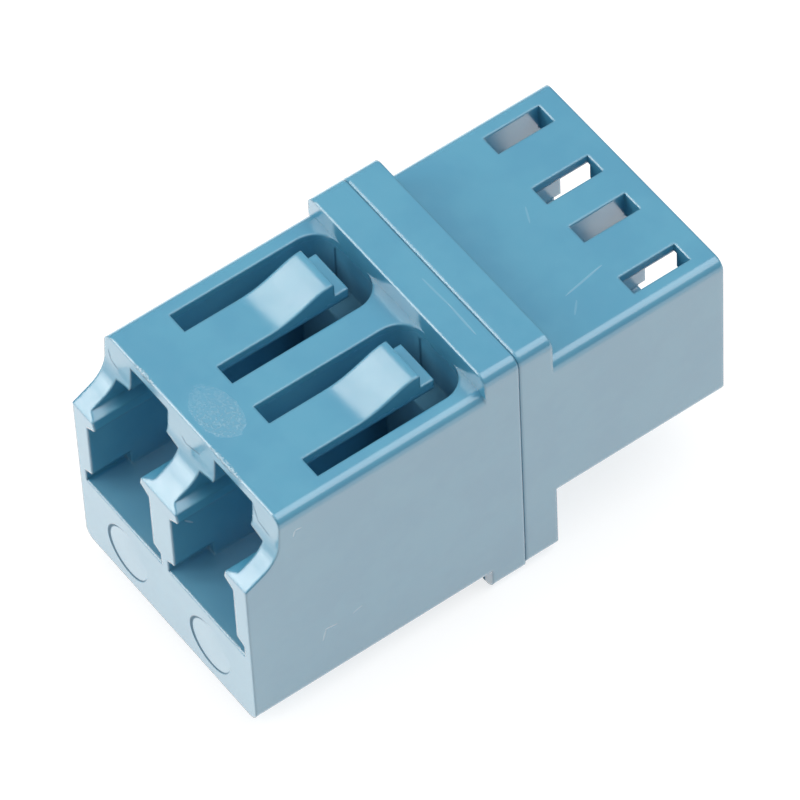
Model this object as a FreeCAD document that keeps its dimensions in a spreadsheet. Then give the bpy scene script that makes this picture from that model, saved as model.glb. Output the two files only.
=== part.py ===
"""Duplex LC fibre adapter for a snap-in panel: two moulded halves round two split alignment sleeves.

X runs across the two sockets, Y from the front mouths to the rear mouths, Z up.
Each half is drawn about the joint plane (Y = 0, where two ferrules meet) and the underside of the
front half (Z = 0); the placement then puts the origin under the middle of the adapter's bounding box.
"""
import FreeCAD, Part
import os
import re
import Sketcher

# name, size in millimetres, what it is
SIZES = [
    # the two optical axes and the outer block
    ("port_pitch", 6.25, "between the two optical axes"),
    ("body_width", 12.95, "across both halves and the flange"),
    ("front_length", 14.65, "joint plane to the front mouths"),
    ("front_height", 13.05, "front half, underside to top"),
    ("rear_length", 11.0, "joint plane to the rear mouths"),
    ("rear_height", 9.3, "rear half, underside to top"),
    ("rear_setdown", 0.65, "rear top below the front top"),
    ("edge_round", 0.55, "rounding of the edges along the adapter"),
    # the panel flange, split by the joint plane
    ("flange_front", 1.83, "thickness on the front half"),
    ("flange_rear", 1.76, "thickness on the rear half"),
    ("flange_rise", 1.1, "above the front top"),
    ("flange_drop", 0.98, "below the front underside"),
    ("flange_step", 0.23, "rear flange above the front flange's underside"),
    ("joint_chamfer", 0.06, "bevel on both sides of the joint line"),
    # one socket, seen along the optical axis
    ("axis_height", 6.78, "optical axis above the front underside"),
    ("plug_size", 4.52, "square body of an LC plug"),
    ("plug_play", 0.16, "socket wider than the plug"),
    ("rib_gap", 3.44, "between the tips of the two guide ribs"),
    ("rib_top_gap", 3.67, "between the ribs at their top ledges"),
    ("rib_slope", 0.36, "fall of a rib's underside towards the wall"),
    ("rib_rise", 0.48, "rib tip to the ledge above it"),
    ("ledge_rise", 0.14, "rise of the ledge towards the wall"),
    ("latch_room", 4.24, "optical axis to the shoulders over the latch"),
    ("shoulder_fall", 0.14, "fall of a shoulder towards the wall"),
    ("channel_width", 2.78, "latch lever's channel"),
    ("front_roof", 0.6, "wall over the front channels"),
    ("rear_roof", 0.5, "wall over the rear channels"),
    ("relief_reach", 0.52, "corner relief beyond the socket wall"),
    ("relief_height", 0.95, "corner relief at the socket wall"),
    ("relief_fall", 0.22, "fall of the relief's roof outwards"),
    ("relief_depth", 2.1, "corner relief along the socket"),
    ("socket_end", 3.14, "joint plane to the sockets' end walls"),
    # the scooped hood over the front mouths
    ("scoop_start", 9.57, "where the scoop leaves the front face"),
    ("scoop_slope", 28, "degrees, rise of the scoop from the front face"),
    ("scoop_radius", 1.75, "where the scoop turns upright"),
    ("scoop_depth", 1.85, "scoop's upright part behind the front face"),
    ("scoop_lean", 0.1, "scoop's upright part leaning back"),
    # latch windows and sprung panel tongues
    ("latch_distance", 9.95, "joint plane to the face that holds a plug's latch"),
    ("window_inner", 2.45, "between a pair of rear windows"),
    ("window_span", 4.68, "over a pair of rear windows or front slots"),
    ("window_length", 3.04, "rear window along the axis"),
    ("slot_corner", 1.37, "round at the rear corners of a tongue slot"),
    ("slot_depth", 2.85, "front top to the floor of the tongue slots"),
    ("tongue_width", 2.4, "sprung tongue"),
    ("tongue_end", 2.99, "joint plane to the tongue's lip"),
    ("hump_end", 3.7, "joint plane to the hump's rear face"),
    ("hump_foot", 7.2, "joint plane to the foot of the hump's ramp"),
    ("hump_hollow", 4.7, "hollow round at the foot of the ramp"),
    ("hump_slope", 22, "degrees, slope of the ramp"),
    ("hump_crest", 2.2, "round where the ramp turns over"),
    ("hump_height", 0.83, "hump over the front top"),
    ("hump_edge", 0.12, "round of the hump's rear edge"),
    # sleeve holders and sleeves
    ("sleeve_bore", 1.246, "relaxed bore of a split sleeve"),
    ("sleeve_wall", 0.187, "wall of a split sleeve"),
    ("sleeve_length", 6.8, "split sleeve"),
    ("sleeve_slit", 0.35, "slit of a split sleeve"),
    ("sleeve_bevel", 0.05, "bevel on the sleeve's outer end edges"),
    ("sleeve_play", 0.04, "round the sleeve in its holder"),
    ("sleeve_end_play", 0.06, "past each end of the sleeve"),
    ("ferrule_hole", 1.4, "narrow end of the funnel in a holder's end"),
    ("ferrule_mouth", 1.75, "wide end of that funnel, at the tip"),
    ("holder_wall", 0.45, "wall of a holder tube"),
    ("holder_tip", 3.9, "joint plane to the tip of a holder tube"),
]
ALIASES = [alias for alias, size, meaning in SIZES]
WORD = re.compile(r"\b(" + "|".join(ALIASES) + r")\b")

# lengths that two or more features share
HALF_BODY = "body_width / 2"
HALF_SOCKET = "(plug_size + plug_play) / 2"
RIB_TIP = f"axis_height + {HALF_SOCKET}"
LEDGE = f"{RIB_TIP} + rib_rise"
SHOULDER = "axis_height + latch_room"
FRONT_ROOF = "front_height - front_roof"
REAR_TOP = "front_height - rear_setdown"
REAR_ROOF = f"{REAR_TOP} - rear_roof"
SLEEVE_END = "sleeve_length / 2 + sleeve_end_play"
SLEEVE_OUTER = "sleeve_bore / 2 + sleeve_wall"
HOLDER_BORE = f"{SLEEVE_OUTER} + sleeve_play"
OVERSHOOT = 1.0  # how far a cutting profile runs past the face that it opens
NEAR = 1e-4  # tolerance for finding an edge by its place

document = FreeCAD.newDocument("lc_adapter")
sheet = document.addObject("Spreadsheet::Sheet", "Sizes")
for row, (alias, size, meaning) in enumerate(SIZES, start=1):
    sheet.set(f"A{row}", alias)
    sheet.set(f"B{row}", str(size))
    sheet.set(f"C{row}", meaning)
    sheet.setAlias(f"B{row}", alias)
document.recompute()


def bound(text):
    """Turn a formula in the sheet's words into a FreeCAD expression."""
    return WORD.sub(r"Sizes.\1", str(text))


def value(text):
    """Size in millimetres of a formula in the sheet's words."""
    return float(sheet.evalExpression(bound(text)))


def new_body(name):
    """Start a sub-part; the origin lies under the middle of the whole adapter's box."""
    body = document.addObject("PartDesign::Body", name)
    body.Label = name
    body.setExpression("Placement.Base.y", bound("(front_length - rear_length) / 2"))
    body.setExpression("Placement.Base.z", bound("flange_drop"))
    return body


def new_sketch(body, name, plane, offset="0", lift="0"):
    """Sketch on one of the body's own planes, moved by offset along its normal and by lift along its upright."""
    sketch = body.newObject("Sketcher::SketchObject", name)
    support = [feature for feature in body.Origin.OriginFeatures if feature.Role == plane]
    sketch.AttachmentSupport = [(support[0], "")]
    sketch.MapMode = "FlatFace"
    sketch.setExpression("AttachmentOffset.Base.z", bound(offset))
    sketch.setExpression("AttachmentOffset.Base.y", bound(lift))
    return sketch


def hold(sketch, kind, places, text, tag):
    """Add a dimension to a sketch and bind it to a formula."""
    number = sketch.addConstraint(Sketcher.Constraint(kind, *places, value(text)))
    sketch.renameConstraint(number, tag)
    sketch.setExpression(f"Constraints.{tag}", bound(text))


def arc_through(start, end, radius):
    """Arc from start to end; a positive radius turns left, a negative one turns right."""
    chord = end - start
    middle = (start + end) / 2
    left = FreeCAD.Vector(-chord.y, chord.x, 0).normalize()
    to_centre = max(radius * radius - chord.Length ** 2 / 4, 0) ** 0.5
    centre = middle + left * (to_centre if radius > 0 else -to_centre)
    bulge = (middle - centre).normalize() if to_centre > NEAR else left * (-1 if radius > 0 else 1)
    return Part.Arc(start, centre + bulge * abs(radius), end)


def outline(sketch, corners, first=0):
    """Close a loop through corners (x, y) or (x, y, radius of the arc to the next corner)."""
    points = [FreeCAD.Vector(value(corner[0]), value(corner[1]), 0) for corner in corners]
    ends = []
    for index, corner in enumerate(corners):
        start = points[index]
        end = points[(index + 1) % len(points)]
        if len(corner) == 2:
            sketch.addGeometry(Part.LineSegment(start, end), False)
            ends.append((1, 2))
            continue
        turn, radius = corner[2], value(corner[3])
        arc = arc_through(start, end, radius if turn == "left" else -radius)
        sketch.addGeometry(arc, False)
        ends.append((1, 2) if turn == "left" else (2, 1))
    for index, corner in enumerate(corners):
        following = (index + 1) % len(corners)
        places = (first + index, ends[index][1], first + following, ends[following][0])
        sketch.addConstraint(Sketcher.Constraint("Coincident", *places))
    for index, corner in enumerate(corners):
        geometry = first + index
        spot = (-1, 1, geometry, ends[index][0])
        hold(sketch, "DistanceX", spot, corner[0], f"across{geometry}")
        hold(sketch, "DistanceY", spot, corner[1], f"up{geometry}")
        if len(corner) == 4:
            hold(sketch, "Radius", (geometry,), corner[3], f"radius{geometry}")
    return first + len(corners)


def box_corners(low_x, high_x, low_y, high_y):
    """Corners of a rectangle."""
    return [(low_x, low_y), (high_x, low_y), (high_x, high_y), (low_x, high_y)]


def circle(sketch, across, up, radius, geometry=0):
    """Add a circle bound to its centre and radius."""
    centre = FreeCAD.Vector(value(across), value(up), 0)
    sketch.addGeometry(Part.Circle(centre, FreeCAD.Vector(0, 0, 1), value(radius)), False)
    hold(sketch, "DistanceX", (-1, 1, geometry, 3), across, f"across{geometry}")
    hold(sketch, "DistanceY", (-1, 1, geometry, 3), up, f"up{geometry}")
    hold(sketch, "Radius", (geometry,), radius, f"radius{geometry}")


def extrude(body, kind, name, sketch, length, reverse=False, both_ways=False):
    """Pad or pocket a sketch, and make sure that it changed the solid."""
    before = body.Shape.Volume if body.Tip else 0.0
    feature = body.newObject(f"PartDesign::{kind}", name)
    feature.Profile = sketch
    feature.setExpression("Length", bound(length))
    feature.Reversed = reverse
    if both_ways:
        feature.SideType = "Symmetric"
    document.recompute()
    change = body.Shape.Volume - before
    if (kind == "Pad") != (change > 0) or change == 0:
        raise ValueError(f"{name} changed nothing")
    return feature


def mirror(body, name, features):
    """Repeat features on the other side of the middle plane between the sockets."""
    copy = body.newObject("PartDesign::Mirrored", name)
    plane = [feature for feature in body.Origin.OriginFeatures if feature.Role == "YZ_Plane"]
    copy.Originals = features
    copy.MirrorPlane = (plane[0], [""])
    body.Tip = copy
    document.recompute()
    return copy


def edges_where(shape, test):
    """Names of the edges whose both ends and middle pass a test on their point."""
    names = []
    for number, edge in enumerate(shape.Edges, start=1):
        middle = edge.valueAt((edge.FirstParameter + edge.LastParameter) / 2)
        points = [vertex.Point for vertex in edge.Vertexes] + [middle]
        if all(test(point) for point in points):
            names.append(f"Edge{number}")
    return names


def dress(body, kind, name, size, test):
    """Fillet or chamfer the edges of the body's tip that pass a test."""
    base = body.Tip
    frame = body.Placement.inverse()
    shape = body.Shape.copy()
    shape.Placement = frame.multiply(shape.Placement)
    names = edges_where(shape, test)
    if not names:
        raise ValueError(f"{name} found no edge")
    feature = body.newObject(f"PartDesign::{kind}", name)
    feature.Base = (base, names)
    feature.setExpression("Radius" if kind == "Fillet" else "Size", bound(size))
    document.recompute()
    if "Invalid" in feature.State:
        raise ValueError(f"{name} failed on {names}")
    return feature


def at(number, target):
    """True where a coordinate lies at a size or formula."""
    return abs(number - value(target)) < NEAR


def round_edges(body, name, low, high):
    """Round the four edges that run along a block between two heights."""
    def on_corner(point):
        return at(abs(point.x), HALF_BODY) and (at(point.z, low) or at(point.z, high))
    dress(body, "Fillet", name, "edge_round", on_corner)


def socket_profile(roof):
    """Section of the right-hand socket: plug room, guide ribs, latch room and latch channel."""
    middle = "port_pitch / 2"
    right = [
        (HALF_SOCKET, f"axis_height - {HALF_SOCKET}"),
        (HALF_SOCKET, f"{RIB_TIP} - rib_slope"),
        ("rib_gap / 2", RIB_TIP),
        ("rib_top_gap / 2", LEDGE),
        (HALF_SOCKET, f"{LEDGE} + ledge_rise"),
        (HALF_SOCKET, f"{SHOULDER} - shoulder_fall"),
        ("channel_width / 2", SHOULDER),
        ("channel_width / 2", roof),
    ]
    left = [(f"{middle} - {across}", up) for across, up in reversed(right)]
    return [(f"{middle} + {across}", up) for across, up in right] + left


def relief_profile():
    """Section of the socket's mouth with both lower corners relieved."""
    middle = "port_pitch / 2"
    floor = f"axis_height - {HALF_SOCKET}"
    outer = f"{HALF_SOCKET} + relief_reach"
    return [
        (f"{middle} - ({outer})", floor),
        (f"{middle} + {outer}", floor),
        (f"{middle} + {outer}", f"{floor} + relief_height - relief_fall"),
        (f"{middle} + {HALF_SOCKET}", f"{floor} + relief_height"),
        (f"{middle} - {HALF_SOCKET}", f"{floor} + relief_height"),
        (f"{middle} - ({outer})", f"{floor} + relief_height - relief_fall"),
    ]


def cut_sockets(body, length, roof, rearwards):
    """Cut both sockets of a half from its mouth to their end walls, with their corner reliefs."""
    sign = "-" if rearwards else ""
    room = new_sketch(body, "socket_profile", "XZ_Plane", f"{sign}({length})")
    outline(room, socket_profile(roof))
    socket = extrude(body, "Pocket", "socket", room, f"{length} - socket_end", reverse=rearwards)
    corners = new_sketch(body, "relief_profile", "XZ_Plane", f"{sign}({length})")
    outline(corners, relief_profile())
    relief = extrude(body, "Pocket", "corner_relief", corners, "relief_depth", reverse=rearwards)
    return [socket, relief]


def build_holder(body, rearwards):
    """Raise a sleeve holder tube in a socket and turn out its sleeve seat and ferrule funnel."""
    middle = "port_pitch / 2"
    sign = "" if rearwards else "-"
    wall = new_sketch(body, "holder_outline", "XZ_Plane")
    circle(wall, middle, "axis_height", f"{HOLDER_BORE} + holder_wall")
    tube = extrude(body, "Pad", "holder_tube", wall, "holder_tip", reverse=rearwards)
    inside = new_sketch(body, "holder_bore_outline", "YZ_Plane", middle, "axis_height")
    outline(inside, [
        ("0", "0"),
        (f"{sign}holder_tip", "0"),
        (f"{sign}holder_tip", "ferrule_mouth / 2"),
        (f"{sign}({SLEEVE_END})", "ferrule_hole / 2"),
        (f"{sign}({SLEEVE_END})", HOLDER_BORE),
        ("0", HOLDER_BORE),
    ])
    bore = body.newObject("PartDesign::Groove", "holder_bore")
    bore.Profile = inside
    bore.ReferenceAxis = (inside, ["H_Axis"])
    bore.Angle = 360
    document.recompute()
    return [tube, bore]


def bevel_joint(body, low, high):
    """Fine bevel round the joint line."""
    bottom = value(low) + value("edge_round") + NEAR
    top = value(high) - value("edge_round") - NEAR
    def on_line(point):
        return at(point.y, "0") and (at(abs(point.x), HALF_BODY) or not bottom < point.z < top)
    dress(body, "Chamfer", "joint_bevel", "joint_chamfer", on_line)


def build_front():
    """Front half: block and flange, scooped hood, sockets, sprung tongues and holder tubes."""
    body = new_body("front_housing")
    section = new_sketch(body, "block_outline", "XZ_Plane")
    outline(section, box_corners(f"-{HALF_BODY}", HALF_BODY, "0", "front_height"))
    extrude(body, "Pad", "block", section, "front_length")
    section = new_sketch(body, "flange_outline", "XZ_Plane")
    outline(section, box_corners(f"-{HALF_BODY}", HALF_BODY, "-flange_drop", "front_height + flange_rise"))
    extrude(body, "Pad", "flange", section, "flange_front")
    round_edges(body, "flange_corner", "-flange_drop", "front_height + flange_rise")
    round_edges(body, "block_edge", "0", "front_height")

    scoop = new_sketch(body, "scoop_outline", "YZ_Plane")
    slope = "scoop_slope * 1 deg"
    turn = f"scoop_depth - scoop_radius * (1 - sin({slope}))"
    turn_up = f"scoop_start + tan({slope}) * ({turn})"
    outline(scoop, [
        (f"-front_length - {OVERSHOOT}", f"scoop_start - {OVERSHOOT} * tan({slope})"),
        (f"-front_length + {turn}", turn_up, "left", "scoop_radius"),
        ("-front_length + scoop_depth", f"{turn_up} + scoop_radius * cos({slope})"),
        ("-front_length + scoop_depth + scoop_lean", "front_height"),
        ("-front_length + scoop_depth + scoop_lean", f"front_height + {OVERSHOOT}"),
        (f"-front_length - {OVERSHOOT}", f"front_height + {OVERSHOOT}"),
    ])
    extrude(body, "Pocket", "scoop", scoop, f"body_width + {OVERSHOOT}", both_ways=True)

    cuts = cut_sockets(body, "front_length", FRONT_ROOF, rearwards=False)
    tubes = build_holder(body, rearwards=False)
    tongue = build_tongue(body)
    mirror(body, "second_port", cuts + tubes + tongue)
    round_humps(body)
    bevel_joint(body, "-flange_drop", "front_height + flange_rise")
    return body


def build_tongue(body):
    """Free one sprung tongue with a U-shaped slot and raise the hump that snaps behind the panel."""
    middle = "port_pitch / 2"
    wide = "window_span / 2"
    narrow = "tongue_width / 2"
    rear = "-flange_front"
    slot = new_sketch(body, "slot_outline", "XY_Plane", "front_height + flange_rise")
    outline(slot, [
        (f"{middle} - {wide}", "-latch_distance"),
        (f"{middle} - {narrow}", "-latch_distance"),
        (f"{middle} - {narrow}", "-tongue_end"),
        (f"{middle} + {narrow}", "-tongue_end"),
        (f"{middle} + {narrow}", "-latch_distance"),
        (f"{middle} + {wide}", "-latch_distance"),
        (f"{middle} + {wide}", f"{rear} - slot_corner", "left", "slot_corner"),
        (f"{middle} + {wide} - slot_corner", rear),
        (f"{middle} - {wide} + slot_corner", rear, "left", "slot_corner"),
        (f"{middle} - {wide}", f"{rear} - slot_corner"),
    ])
    around = extrude(body, "Pocket", "slot", slot, "flange_rise + slot_depth")
    channel = new_sketch(body, "channel_outline", "XY_Plane", FRONT_ROOF)
    outline(channel, box_corners(f"{middle} - channel_width / 2", f"{middle} + channel_width / 2",
                                 f"-socket_end - {OVERSHOOT}", rear))
    under = extrude(body, "Pocket", "tongue_clearance", channel, "slot_depth - front_roof")
    hump = new_sketch(body, "hump_outline", "YZ_Plane", middle)
    slope = "hump_slope * 1 deg"
    ramp_start = f"-hump_foot + hump_hollow * sin({slope})"
    ramp_run = f"(hump_height - (hump_hollow + hump_crest) * (1 - cos({slope}))) / tan({slope})"
    ramp_end = f"{ramp_start} + {ramp_run}"
    top = f"{ramp_end} + hump_crest * sin({slope})"
    outline(hump, [
        ("-hump_foot", "front_height"),
        ("-hump_foot", "front_height - front_roof / 2"),
        ("-hump_end", "front_height - front_roof / 2"),
        ("-hump_end", f"front_height + hump_height - hump_crest + sqrt(hump_crest ^ 2 - (hump_end + {top}) ^ 2)",
         "left", "hump_crest"),
        (ramp_end, f"front_height + hump_height - hump_crest * (1 - cos({slope}))"),
        (ramp_start, f"front_height + hump_hollow * (1 - cos({slope}))", "right", "hump_hollow"),
    ])
    raised = extrude(body, "Pad", "hump", hump, "tongue_width", both_ways=True)
    return [around, under, raised]


def round_humps(body):
    """Ease the rear edge of both humps."""
    middle = value("front_height + hump_height / 2")
    def on_crest(point):
        return at(point.y, "-hump_end") and point.z > middle
    dress(body, "Fillet", "hump_edge", "hump_edge", on_crest)


def build_rear():
    """Rear half: lower block with its flange, sockets, latch windows and holder tubes."""
    body = new_body("rear_housing")
    rear_bottom = f"{REAR_TOP} - rear_height"
    section = new_sketch(body, "block_outline", "XZ_Plane")
    outline(section, box_corners(f"-{HALF_BODY}", HALF_BODY, rear_bottom, REAR_TOP))
    extrude(body, "Pad", "block", section, "rear_length", reverse=True)
    section = new_sketch(body, "flange_outline", "XZ_Plane")
    outline(section, box_corners(f"-{HALF_BODY}", HALF_BODY,
                                 "flange_step - flange_drop", "front_height + flange_rise"))
    extrude(body, "Pad", "flange", section, "flange_rear", reverse=True)
    round_edges(body, "flange_corner", "flange_step - flange_drop", "front_height + flange_rise")
    round_edges(body, "block_edge", rear_bottom, REAR_TOP)

    cuts = cut_sockets(body, "rear_length", REAR_ROOF, rearwards=True)
    window = new_sketch(body, "window_outline", "XY_Plane", REAR_TOP)
    middle = "port_pitch / 2"
    front_edge = "latch_distance - window_length"
    count = outline(window, box_corners(f"{middle} + window_inner / 2", f"{middle} + window_span / 2",
                                        front_edge, "latch_distance"))
    outline(window, box_corners(f"{middle} - window_span / 2", f"{middle} - window_inner / 2",
                                front_edge, "latch_distance"), count)
    windows = extrude(body, "Pocket", "latch_windows", window, f"{REAR_TOP} - ({SHOULDER}) + latch_room / 8")
    tubes = build_holder(body, rearwards=True)
    mirror(body, "second_port", cuts + [windows] + tubes)
    bevel_joint(body, "flange_step - flange_drop", "front_height + flange_rise")
    return body


def build_sleeve(name, side):
    """Split ceramic sleeve: a tube with one slit along its top, trapped between the two halves."""
    body = new_body(name)
    across = f"{side} * port_pitch / 2"
    ring = new_sketch(body, "ring", "XZ_Plane", "-sleeve_length / 2")
    circle(ring, across, "axis_height", SLEEVE_OUTER)
    circle(ring, across, "axis_height", "sleeve_bore / 2", 1)
    extrude(body, "Pad", "tube", ring, "sleeve_length")
    slit = new_sketch(body, "slit_outline", "XZ_Plane", "-sleeve_length / 2")
    outline(slit, box_corners(f"{across} - sleeve_slit / 2", f"{across} + sleeve_slit / 2",
                              "axis_height", f"axis_height + {SLEEVE_OUTER} + sleeve_play"))
    extrude(body, "Pocket", "slit", slit, "sleeve_length", reverse=True)
    def on_rim(point):
        reach = ((point.x - value(across)) ** 2 + (point.z - value("axis_height")) ** 2) ** 0.5
        return at(abs(point.y), "sleeve_length / 2") and at(reach, SLEEVE_OUTER)
    dress(body, "Chamfer", "rim_bevel", "sleeve_bevel", on_rim)
    return body


def check_and_save(bodies):
    """Stop if anything failed to build, then write one STEP file for each sub-part."""
    document.recompute()
    for thing in document.Objects:
        if any(word in thing.State for word in ("Invalid", "Error")):
            raise ValueError(f"{thing.Label} failed: {thing.State}")
    for body in bodies:
        if body.Shape.isNull() or not body.Shape.isValid():
            raise ValueError(f"{body.Label} has no valid shape")
    os.makedirs("parts", exist_ok=True)
    for body in bodies:
        body.Shape.exportStep(os.path.join("parts", body.Label + ".step"))
        print(body.Label, round(body.Shape.Volume, 2), "mm3", len(body.Shape.Faces), "faces")


check_and_save([
    build_front(),
    build_rear(),
    build_sleeve("alignment_sleeve_left", -1),
    build_sleeve("alignment_sleeve_right", 1),
])
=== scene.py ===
from math import pi

import bpy
from mathutils import Matrix, Vector


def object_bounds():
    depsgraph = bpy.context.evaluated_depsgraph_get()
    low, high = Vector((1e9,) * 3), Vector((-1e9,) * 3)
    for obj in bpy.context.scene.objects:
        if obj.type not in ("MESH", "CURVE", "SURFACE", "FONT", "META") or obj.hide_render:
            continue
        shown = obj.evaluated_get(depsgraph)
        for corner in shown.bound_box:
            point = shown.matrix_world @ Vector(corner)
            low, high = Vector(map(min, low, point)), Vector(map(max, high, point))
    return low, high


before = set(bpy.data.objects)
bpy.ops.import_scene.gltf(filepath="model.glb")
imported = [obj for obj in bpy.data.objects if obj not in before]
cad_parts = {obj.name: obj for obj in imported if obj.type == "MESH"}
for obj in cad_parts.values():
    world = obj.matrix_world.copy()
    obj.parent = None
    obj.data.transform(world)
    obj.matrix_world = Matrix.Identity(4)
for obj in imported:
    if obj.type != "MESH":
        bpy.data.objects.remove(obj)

CAD_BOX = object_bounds()
MM = 0.001  # a millimetre in metres


def srgb(red, green, blue):
    """Linear colour of a display colour given as 0 to 255 numbers, by the sRGB curve."""
    def straight(channel):
        part = channel / 255
        return part / 12.92 if part <= 0.04045 else ((part + 0.055) / 1.055) ** 2.4
    return (straight(red), straight(green), straight(blue), 1.0)


PLASTIC = srgb(90, 169, 201)
PLASTIC_DEEP = srgb(84, 163, 197)
# PLASTIC_LIGHT also gives the painted highlight and painted light; PLASTIC_SHADE also gives painted
# shade
PLASTIC_LIGHT = srgb(168, 210, 230)
PLASTIC_SHADE = srgb(28, 78, 104)
CERAMIC = srgb(236, 235, 228)
CERAMIC_LIGHT = srgb(246, 245, 241)
WHITE = (1.0, 1.0, 1.0, 1.0)
FLOOR_GREY = (0.44, 0.44, 0.44, 1.0)

# Faces and edges of the housings. These, and all places and sizes down to FLOOR_WHITENS, are
# millimetres in the frame.
FRONT_FACE = -12.825
FRONT_TOP = 14.03
SCOOP_EDGE = -10.88  # along Y, where the scoop meets the front top
FLANGE_FRONT = -0.005
SEAM = 1.79  # along Y, the bevelled line between the two halves
PORT_FLOOR = 5.42
WALL = 5.9  # along X, within the thickness of the side walls

# light scratches: start, end and strength
FRONT_SCRATCHES = (
    ((6.475, -10.22, 12.50), (6.475, -10.08, 12.90), 0.7),
    ((6.475, -10.14, 12.86), (6.475, -9.78, 12.80), 0.7),
    ((6.475, -9.10, 3.90), (6.475, -8.88, 4.66), 0.6),
    ((6.475, -8.95, 4.64), (6.475, -8.30, 4.50), 0.8),
    ((6.475, -7.48, 4.56), (6.475, -6.96, 4.72), 0.5),
    ((0.3, 1.20, 15.13), (2.3, 1.27, 15.13), 0.22),
    ((2.1, 1.27, 15.13), (4.2, 1.22, 15.13), 0.28),
    ((0.785, -12.09, 9.08), (0.785, -11.68, 8.6), 1.0),
)
REAR_SCRATCHES = (
    ((3.36, 8.6, 13.38), (3.76, 6.3, 13.38), 0.3),
    ((-1.27, 7.9, 13.38), (-0.4, 7.5, 13.38), 0.2),
    ((4.23, 6.56, 13.38), (4.84, 6.0, 13.38), 0.2),
)
SCRATCH_WIDTH = 0.07

# runs of pale flash on the scoop's upper edge: start and end
FLASHES = (
    ((-4.3, -10.88, 14.03), (-2.7, -10.88, 14.03)),
    ((1.35, -10.88, 14.03), (3.7, -10.86, 14.03)),
)
FLASH_WIDTH = 0.2

# witness lines on the scoop's upright part, over the divider and by both side walls
WITNESS_LINES = (
    ((-0.68, -10.964, 12.74), (-0.30, -10.977, 12.50)),
    ((-0.36, -10.977, 12.51), (0.74, -10.959, 12.82)),
    ((4.58, -10.921, 13.38), (4.99, -10.973, 12.61)),
    ((4.92, -10.969, 12.67), (5.84, -10.979, 12.45)),
    ((-6.18, -10.935, 13.18), (-5.95, -10.974, 12.60)),
    ((-6.00, -10.970, 12.66), (-5.42, -10.978, 12.48)),
)
WITNESS_WIDTH = 0.09

# gate mark on the front top: centre and half sizes along X and Y
GATE_CENTRE = (0.0, -9.55)
GATE_HALF = (1.6, 0.95)

# fades, each from where it starts to where it is complete
GATE_ALONG_X = (-1.4, 0.6)
SLOT_ALONG_Y = (-8.3, -8.1)
SLOT_ALONG_Z = (13.95, 12.7)
# DEEP_ALONG_Y and DEEP_ALONG_Z place the painted shade in the slots
DEEP_ALONG_Y = (-3.4, -1.6)  # of the slots' deep rear ends
DEEP_ALONG_Z = (13.2, 11.4)
# MOUTH_EDGE and MOUTH_ALONG_Y fade the painted light on the port floors
MOUTH_EDGE = (-12.82, -12.7)
MOUTH_ALONG_Y = (-6.5, -11.5)

# ejector discs on the front face: centres along X and Z
EJECTOR_DISCS = ((-3.1, 3.1), (3.15, 3.1))
DISC_RADIUS = 1.48
# DISC_WALL and DISC_SHIFT size the painted shade on the disc walls
DISC_WALL = 0.10
DISC_SHIFT = (0.11, 0.09)  # of a disc's floor against its rim, because it leans
DISC_LEAN_REACH = 2.1  # from the centre to the rim, in X plus Z
DISC_DEPTH = 0.06

EDGE_ROUND = 0.18
BUMP_DEPTH = 0.03

FLOOR_WHITENS = (60.0, 220.0)  # distances from the object's middle

SHARP_ANGLE = 0.52  # radians, about 30 degrees

# these, and the camera's place, are metres
MERGE_DISTANCE = 1e-6
FLOOR_HALF = 1.5
FLOOR_DROP = 0.00002  # clears the object's underside

ROOM_TINT = (0.96, 0.98, 1.0, 1.0)
ROOM_GLOW = 0.37
WARM = (1.0, 0.985, 0.95)
WARMER = (1.0, 0.89, 0.78)

CAMERA_PLACE = (0.172785, -0.115056, 0.280546)
CAMERA_RIGHT = (0.5907386, 0.8061322, -0.0343314)
CAMERA_DOWN = (0.6305636, -0.4877910, -0.6036966)
CAMERA_AHEAD = (-0.5034058, 0.3349788, -0.7964746)
SENSOR_WIDTH = 36.0  # millimetres, as is the focal length
FOCAL_LENGTH = 352.206


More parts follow.
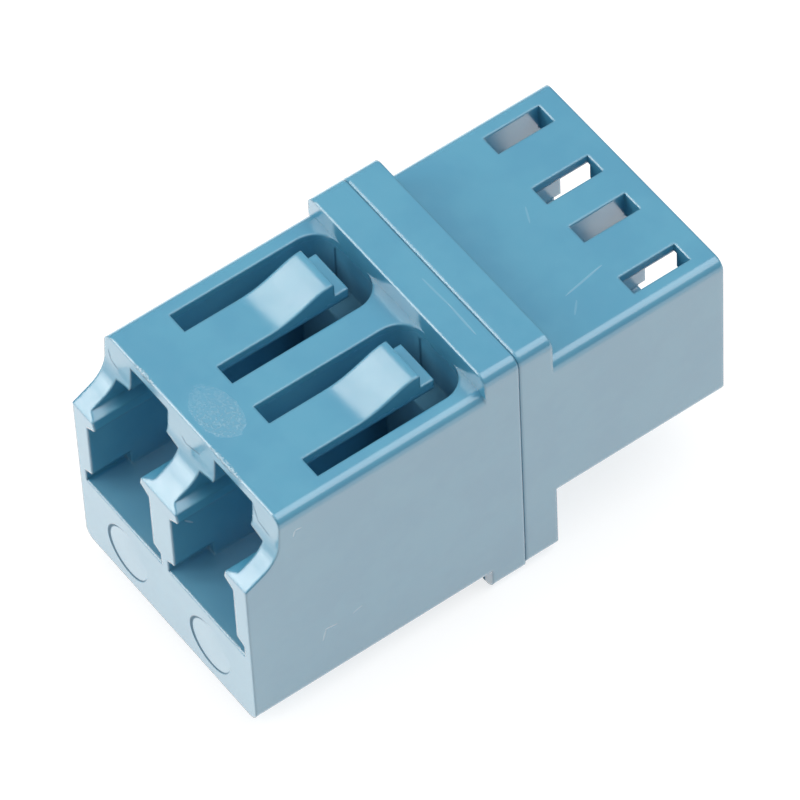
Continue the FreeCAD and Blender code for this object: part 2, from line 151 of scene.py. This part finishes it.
class Sheet:
    """A material's node tree, with short words for the nodes that the finishes use. In it, spot holds
    the Object coordinates in millimetres, and x, y and z hold its parts."""

    def __init__(self, name):
        self.material = bpy.data.materials.new(name)
        self.material.use_nodes = True
        self.tree = self.material.node_tree
        self.tree.nodes.clear()
        self.output = self.node("ShaderNodeOutputMaterial")
        coordinates = self.node("ShaderNodeTexCoord")
        scaled = self.node("ShaderNodeVectorMath", operation="SCALE")
        self.put(scaled.inputs[0], coordinates.outputs["Object"])
        self.put(scaled.inputs["Scale"], 1 / MM)
        split = self.node("ShaderNodeSeparateXYZ")
        self.put(split.inputs[0], scaled.outputs[0])
        self.spot = scaled.outputs[0]
        self.x, self.y, self.z = split.outputs

    def node(self, kind, **settings):
        made = self.tree.nodes.new(kind)
        for key, setting in settings.items():
            setattr(made, key, setting)
        return made

    def put(self, socket, value):
        """Link a socket, or set a plain number or colour on it."""
        if isinstance(value, bpy.types.NodeSocket):
            self.tree.links.new(value, socket)
        else:
            socket.default_value = value

    def fill(self, node, **values):
        """Put values on a node's sockets, named with _ for each space."""
        for name, value in values.items():
            self.put(node.inputs[name.replace("_", " ")], value)

    def math(self, operation, *values, clamp=False):
        made = self.node("ShaderNodeMath", operation=operation, use_clamp=clamp)
        for socket, value in zip(made.inputs, values):
            self.put(socket, value)
        return made.outputs[0]

    def times(self, product, *factors):
        """Product of several values."""
        for factor in factors:
            product = self.math("MULTIPLY", product, factor)
        return product

    def total(self, values, clamp=True):
        """Sum of several values, clamped to 1 where clamp is set."""
        result = values[0]
        for value in values[1:]:
            result = self.math("ADD", result, value, clamp=clamp)
        return result

    def noise(self, scale, detail=2.0, roughness=0.5):
        made = self.node("ShaderNodeTexNoise")
        self.fill(made, Vector=self.spot, Scale=scale, Detail=detail, Roughness=roughness)
        return made.outputs["Fac"]

    def ramp(self, value, low, high, start=0.0, end=1.0):
        """Smooth step of value from start at low to end at high."""
        made = self.node("ShaderNodeMapRange", interpolation_type="SMOOTHSTEP")
        self.fill(made, Value=value, From_Min=low, From_Max=high, To_Min=start, To_Max=end)
        return made.outputs[0]

    def near(self, value, centre, reach):
        """1 where value is close to centre, falling smoothly to 0 at reach."""
        return self.ramp(self.math("ABSOLUTE", self.math("SUBTRACT", value, centre)), reach, 0.0)

    def between_walls(self, fade):
        """1 between the side walls, falling to 0 at them."""
        return self.ramp(self.math("ABSOLUTE", self.x), WALL, WALL - fade)

    def distance(self, across, up, centre, half=(1.0, 1.0)):
        """Distance in a plane from a centre, each way divided by its half size."""
        a = self.math("DIVIDE", self.math("SUBTRACT", across, centre[0]), half[0])
        b = self.math("DIVIDE", self.math("SUBTRACT", up, centre[1]), half[1])
        return self.math("SQRT", self.math("ADD", self.times(a, a), self.times(b, b)))

    def disc(self, centre, radius, fade):
        """1 on a disc in the plane of X and Z."""
        return self.ramp(self.distance(self.x, self.z, centre), radius + fade, radius - fade)

    def apart(self, point):
        """Distance in space from a point."""
        made = self.node("ShaderNodeVectorMath", operation="DISTANCE")
        self.put(made.inputs[0], self.spot)
        self.put(made.inputs[1], point)
        return made.outputs["Value"]

    def scratch(self, start, end, width):
        """1 on a thin spindle between two points: the sum of the distances from both, less their own
        distance, is 0 on the line between them and twice the squared width over the length at the
        spindle's waist."""
        length = (Vector(end) - Vector(start)).length
        both = self.math("ADD", self.apart(start), self.apart(end))
        waist = 2 * width ** 2 / length
        return self.ramp(self.math("SUBTRACT", both, length), waist, waist * 0.1)

    def mix(self, factor, first, second):
        """Colour between two."""
        made = self.node("ShaderNodeMix", data_type="RGBA")
        for number, value in ((0, factor), (6, first), (7, second)):
            self.put(made.inputs[number], value)
        return made.outputs[2]

    def bump(self, height, normal, strength, depth):
        made = self.node("ShaderNodeBump")
        self.fill(made, Strength=strength, Distance=depth * MM, Height=height, Normal=normal)
        return made.outputs[0]


def rounded_edges(sheet):
    """Normal that rounds the edges, but leaves the foot of the flange a crisp inside corner."""
    bevel = sheet.node("ShaderNodeBevel", samples=8)
    sheet.fill(bevel, Radius=EDGE_ROUND * MM)
    foot = sheet.times(sheet.near(sheet.y, FLANGE_FRONT, 0.22), sheet.near(sheet.z, FRONT_TOP, 0.22))
    plain = sheet.node("ShaderNodeMix", data_type="VECTOR")
    sheet.put(plain.inputs[0], sheet.ramp(foot, 0.1, 0.4))
    sheet.put(plain.inputs[4], bevel.outputs[0])
    sheet.put(plain.inputs[5], sheet.node("ShaderNodeNewGeometry").outputs["Normal"])
    return plain.outputs[1]


def add_gate_and_flash(sheet, marks, flow):
    """A gate mark, which is a wavy speckled oval on the front top between the ports, plainer towards
    -X; and flash and a painted highlight, a pale line along the scoop's upper edge."""
    speckle = sheet.noise(scale=8.5, detail=3.0, roughness=0.6)
    oval = sheet.distance(sheet.x, sheet.y, GATE_CENTRE, GATE_HALF)
    oval = sheet.math("ADD", oval, sheet.times(flow, 0.3))
    gate = sheet.times(sheet.ramp(oval, 1.25, 1.05), sheet.near(sheet.z, FRONT_TOP, 0.05),
                       sheet.ramp(sheet.x, *GATE_ALONG_X, start=0.25))
    specks = sheet.times(gate, sheet.ramp(speckle, 0.48, 0.62))
    flash = sheet.total([sheet.scratch(start, end, FLASH_WIDTH) for start, end in FLASHES])
    flash = sheet.times(flash, sheet.ramp(speckle, 0.42, 0.6))
    # painted highlight: a pale line along the scoop's rounded upper edge
    edge = sheet.times(sheet.near(sheet.y, SCOOP_EDGE, 0.08), sheet.near(sheet.z, FRONT_TOP, 0.08))
    marks["pale"] += [sheet.times(specks, 0.3), sheet.times(flash, 0.9), sheet.times(edge, 0.5)]
    marks["raised"] += [flash, specks]
    marks["rough"].append(sheet.times(gate, 0.25))


def add_slots(sheet, marks):
    """The slots round the tongues, left as spark eroded: dull, with painted shade at their deep rear
    ends.
    """
    slot = sheet.times(sheet.between_walls(0.1), sheet.ramp(sheet.y, *SLOT_ALONG_Y),
                       sheet.ramp(sheet.z, *SLOT_ALONG_Z))
    deep = sheet.times(sheet.ramp(sheet.z, *DEEP_ALONG_Z), sheet.ramp(sheet.y, *DEEP_ALONG_Y))
    # painted shade at the slots' deep rear ends
    marks["dark"].append(sheet.times(slot, deep, 0.6))
    marks["rough"].append(sheet.times(slot, 0.35))
    marks["dull"].append(slot)


def add_painted_light_at_mouths(sheet, marks):
    """Painted light on the port floors, paler towards the mouths."""
    # painted light on the port floors near the mouths
    mouth_painted_light = sheet.times(sheet.near(sheet.z, PORT_FLOOR, 0.3), sheet.between_walls(0.2),
                        sheet.ramp(sheet.y, *MOUTH_EDGE), sheet.ramp(sheet.y, *MOUTH_ALONG_Y))
    marks["pale"].append(sheet.times(mouth_painted_light, 0.25))


def ejector_discs(sheet):
    """Discs that lean into the front face, deepest at the lower left: painted shade on the walls round
    them, widest there too, and their depth as a share of DISC_DEPTH."""
    walls, depths = [], []
    for across, up in EJECTOR_DISCS:
        whole = sheet.disc((across, up), DISC_RADIUS, 0.05)
        inner = sheet.disc((across + DISC_SHIFT[0], up + DISC_SHIFT[1]), DISC_RADIUS - DISC_WALL, 0.04)
        walls.append(sheet.math("SUBTRACT", whole, inner, clamp=True))
        lean = sheet.ramp(sheet.math("ADD", sheet.x, sheet.z),
                          across + up + DISC_LEAN_REACH, across + up - DISC_LEAN_REACH)
        depths.append(sheet.times(whole, lean))
    on_face = sheet.near(sheet.y, FRONT_FACE, 0.05)
    return sheet.times(sheet.total(walls), on_face), sheet.times(sheet.total(depths), on_face)


def moulded_plastic(name, scratches, front):
    """Aqua moulded plastic: fine satin grain, faint clouding, a few light scratches and the dark seam.
    The front half also has a gate mark on top, leaning ejector discs with painted shade on their walls,
    flash, witness lines and a painted highlight at the scoop, dull slots with painted shade at their
    deep rear ends, and painted light on the port floors towards the mouths."""
    sheet = Sheet(name)
    cloud = sheet.noise(scale=0.35, detail=3.0)
    grain = sheet.noise(scale=9.0, detail=3.0, roughness=0.6)
    flow = sheet.noise(scale=1.6)
    lines = sheet.total([sheet.times(sheet.scratch(start, end, SCRATCH_WIDTH), strength)
                         for start, end, strength in scratches])
    seam = sheet.near(sheet.y, SEAM, 0.06)
    marks = {
        "pale": [lines],
        "dark": [sheet.times(seam, 0.8)],
        "raised": [sheet.times(grain, 0.012), sheet.times(lines, -0.6)],
        "rough": [sheet.ramp(flow, 0.3, 0.7, start=0.20, end=0.25)],
        "dull": [],
    }
    normal = rounded_edges(sheet)
    if front:
        add_gate_and_flash(sheet, marks, flow)
        witness = [sheet.scratch(start, end, WITNESS_WIDTH) for start, end in WITNESS_LINES]
        walls, sunk = ejector_discs(sheet)
        # the disc walls take painted shade
        marks["dark"] += [sheet.times(sheet.total(witness), 0.55), walls]
        normal = sheet.bump(sheet.math("SUBTRACT", 1.0, sunk), normal, strength=1.0, depth=DISC_DEPTH)
        add_slots(sheet, marks)
        add_painted_light_at_mouths(sheet, marks)

    # dark holds the seam and witness lines, and on the front half the painted shade on disc walls and
    # slots
    dark = sheet.total(marks["dark"])
    roughness = sheet.total(marks["rough"] + [sheet.times(dark, 0.4)], clamp=False)
    gloss = sheet.math("SUBTRACT", 1.0, sheet.total(marks["dull"] + [dark]))
    colour = sheet.mix(sheet.ramp(cloud, 0.35, 0.65), PLASTIC, PLASTIC_DEEP)
    # pale marks, with the painted highlight on the scoop edge and the painted light at the port mouths
    colour = sheet.mix(sheet.total(marks["pale"]), colour, PLASTIC_LIGHT)
    colour = sheet.mix(sheet.times(dark, 0.85), colour, PLASTIC_SHADE)
    height = sheet.total(marks["raised"], clamp=False)
    normal = sheet.bump(height, normal, strength=0.6, depth=BUMP_DEPTH)
    skin = sheet.node("ShaderNodeBsdfPrincipled")
    sheet.fill(skin, Base_Color=colour, Roughness=roughness, IOR=1.5, Specular_IOR_Level=1.0,
               Coat_Weight=gloss, Coat_Roughness=0.17, Coat_IOR=1.5, Normal=normal, Coat_Normal=normal)
    sheet.fill(sheet.output, Surface=skin.outputs[0])
    return sheet.material


def sintered_ceramic():
    """White ceramic of the split sleeves: polished, with a faint warm mottle."""
    sheet = Sheet("sintered_white_ceramic")
    mottle = sheet.noise(scale=3.0)
    skin = sheet.node("ShaderNodeBsdfPrincipled")
    sheet.fill(skin, Base_Color=sheet.mix(mottle, CERAMIC, CERAMIC_LIGHT),
               Roughness=sheet.ramp(mottle, 0.3, 0.7, start=0.12, end=0.2), IOR=2.1)
    sheet.fill(sheet.output, Surface=skin.outputs[0])
    return sheet.material


def pale_floor():
    """Plain floor that keeps the object's shadow and shows white to the camera and in gloss."""
    sheet = Sheet("pale_floor")
    plain = sheet.node("ShaderNodeBsdfDiffuse")
    sheet.fill(plain, Color=FLOOR_GREY)
    rays = sheet.node("ShaderNodeLightPath").outputs
    gloss = sheet.math("MAXIMUM", rays["Is Glossy Ray"], rays["Is Transmission Ray"])
    seen = sheet.math("MAXIMUM", rays["Is Camera Ray"], gloss)
    # to the camera, weaker round the object, where the lamps add their light, and white far off
    far = sheet.distance(sheet.x, sheet.y, (0.0, 0.0))
    weaker = sheet.ramp(far, *FLOOR_WHITENS, start=0.25, end=0.0)
    weaker = sheet.times(rays["Is Camera Ray"], weaker)
    glow = sheet.node("ShaderNodeEmission")
    sheet.fill(glow, Color=WHITE, Strength=sheet.math("SUBTRACT", seen, weaker))
    both = sheet.node("ShaderNodeAddShader")
    sheet.put(both.inputs[0], plain.outputs[0])
    sheet.put(both.inputs[1], glow.outputs[0])
    sheet.fill(sheet.output, Surface=both.outputs[0])
    return sheet.material


def smooth_tree():
    """Node group that joins the triangles and marks each edge past SHARP_ANGLE as sharp."""
    tree = bpy.data.node_groups.new("smooth_by_angle", "GeometryNodeTree")
    for way in ("INPUT", "OUTPUT"):
        tree.interface.new_socket("Geometry", in_out=way, socket_type="NodeSocketGeometry")
    start = tree.nodes.new("NodeGroupInput")
    end = tree.nodes.new("NodeGroupOutput")
    merge = tree.nodes.new("GeometryNodeMergeByDistance")
    merge.inputs["Distance"].default_value = MERGE_DISTANCE
    faces = tree.nodes.new("GeometryNodeSetShadeSmooth")
    faces.domain = "FACE"
    edges = tree.nodes.new("GeometryNodeSetShadeSmooth")
    edges.domain = "EDGE"
    edges.inputs["Shade Smooth"].default_value = False
    angle = tree.nodes.new("GeometryNodeInputMeshEdgeAngle")
    sharp = tree.nodes.new("FunctionNodeCompare")
    sharp.data_type = "FLOAT"
    sharp.operation = "GREATER_THAN"
    sharp.inputs[1].default_value = SHARP_ANGLE
    tree.links.new(angle.outputs["Unsigned Angle"], sharp.inputs[0])
    tree.links.new(start.outputs[0], merge.inputs[0])
    tree.links.new(merge.outputs[0], faces.inputs[0])
    tree.links.new(faces.outputs[0], edges.inputs[0])
    tree.links.new(sharp.outputs[0], edges.inputs["Selection"])
    tree.links.new(edges.outputs[0], end.inputs[0])
    return tree


def dress_pieces():
    """Give every CAD node its finish, and shade its rounded faces as rounds and flat faces flat."""
    finishes = {
        "front_housing": moulded_plastic("moulded_aqua_plastic_front", FRONT_SCRATCHES, True),
        "rear_housing": moulded_plastic("moulded_aqua_plastic_rear", REAR_SCRATCHES, False),
    }
    ceramic = sintered_ceramic()
    smooth = smooth_tree()
    for name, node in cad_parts.items():
        for slot in node.material_slots:
            slot.material = finishes.get(name, ceramic)
        node.modifiers.new("smooth_by_angle", "NODES").node_group = smooth
        weighted = node.modifiers.new("flat_faces_stay_flat", "WEIGHTED_NORMAL")
        weighted.mode = "FACE_AREA"
        weighted.keep_sharp = True


def add_object(name, data):
    made = bpy.data.objects.new(name, data)
    bpy.context.scene.collection.objects.link(made)
    return made


def lay_floor():
    """Square floor under the object."""
    mesh = bpy.data.meshes.new("floor")
    corners = [(x * FLOOR_HALF, y * FLOOR_HALF, 0) for x, y in ((-1, -1), (1, -1), (1, 1), (-1, 1))]
    mesh.from_pydata(corners, [], [(0, 1, 2, 3)])
    floor = add_object("floor", mesh)
    floor.location.z = -FLOOR_DROP
    mesh.materials.append(pale_floor())


def light_room():
    """Soft room round the object, white to the camera."""
    world = bpy.data.worlds.new("room")
    bpy.context.scene.world = world
    world.use_nodes = True
    tree = world.node_tree
    tree.nodes.clear()
    output = tree.nodes.new("ShaderNodeOutputWorld")
    mix = tree.nodes.new("ShaderNodeMixShader")
    rays = tree.nodes.new("ShaderNodeLightPath")
    tree.links.new(rays.outputs["Is Camera Ray"], mix.inputs[0])
    for number, colour, strength in ((1, ROOM_TINT, ROOM_GLOW), (2, WHITE, 1.0)):
        glow = tree.nodes.new("ShaderNodeBackground")
        glow.inputs["Color"].default_value = colour
        glow.inputs["Strength"].default_value = strength
        tree.links.new(glow.outputs[0], mix.inputs[number])
    tree.links.new(mix.outputs[0], output.inputs[0])


def softbox(name, direction, away, size, radiance, along=(0, 0, 1), tint=(1.0, 1.0, 1.0)):
    """Rectangular area lamp that faces the object's middle, its second side along a given line; its
    power is radiance times pi times its area."""
    lamp = bpy.data.lights.new(name, "AREA")
    lamp.shape = "RECTANGLE"
    lamp.size, lamp.size_y = size
    lamp.energy = radiance * pi * size[0] * size[1]
    lamp.color = tint
    towards = Vector(direction).normalized()
    across = Vector(along).cross(towards).normalized()
    turn = Matrix((across, towards.cross(across), towards)).transposed().to_4x4()
    middle = (CAD_BOX[0] + CAD_BOX[1]) / 2
    add_object(name, lamp).matrix_world = Matrix.Translation(middle + towards * away) @ turn


def set_softboxes():
    """Two narrow lamps towards -X, whose gloss shows on the tongues and the scoop, a weak fill from the
    front, and a large one overhead."""
    softbox("softbox_high", (-0.503, -0.225, 0.834), away=0.30, size=(0.055, 0.225), radiance=3.3,
            along=(0, 0.965, 0.26), tint=WARMER)
    softbox("softbox_low", (-0.52, -0.745, 0.415), away=0.30, size=(0.065, 0.39), radiance=3.3,
            along=(0, 0.485, 0.875), tint=WARM)
    softbox("softbox_fill", (-0.25, -0.85, 0.45), away=0.45, size=(0.30, 0.30), radiance=1.4,
            tint=WARM)
    softbox("softbox_top", (0.15, 0.42, 0.89), away=0.45, size=(0.42, 0.42), radiance=1.85)


def set_camera():
    """Long lens, high over the front right corner."""
    lens = bpy.data.cameras.new("camera")
    lens.sensor_width = SENSOR_WIDTH
    lens.lens = FOCAL_LENGTH
    lens.clip_start = 0.01
    lens.clip_end = 10.0
    holder = add_object("camera", lens)
    turn = Matrix((Vector(CAMERA_RIGHT), -Vector(CAMERA_DOWN), -Vector(CAMERA_AHEAD)))
    holder.matrix_world = Matrix.Translation(CAMERA_PLACE) @ turn.transposed().to_4x4()
    bpy.context.scene.camera = holder


set_camera()
dress_pieces()
lay_floor()
light_room()
set_softboxes()
bpy.context.scene.view_settings.view_transform = "Standard"
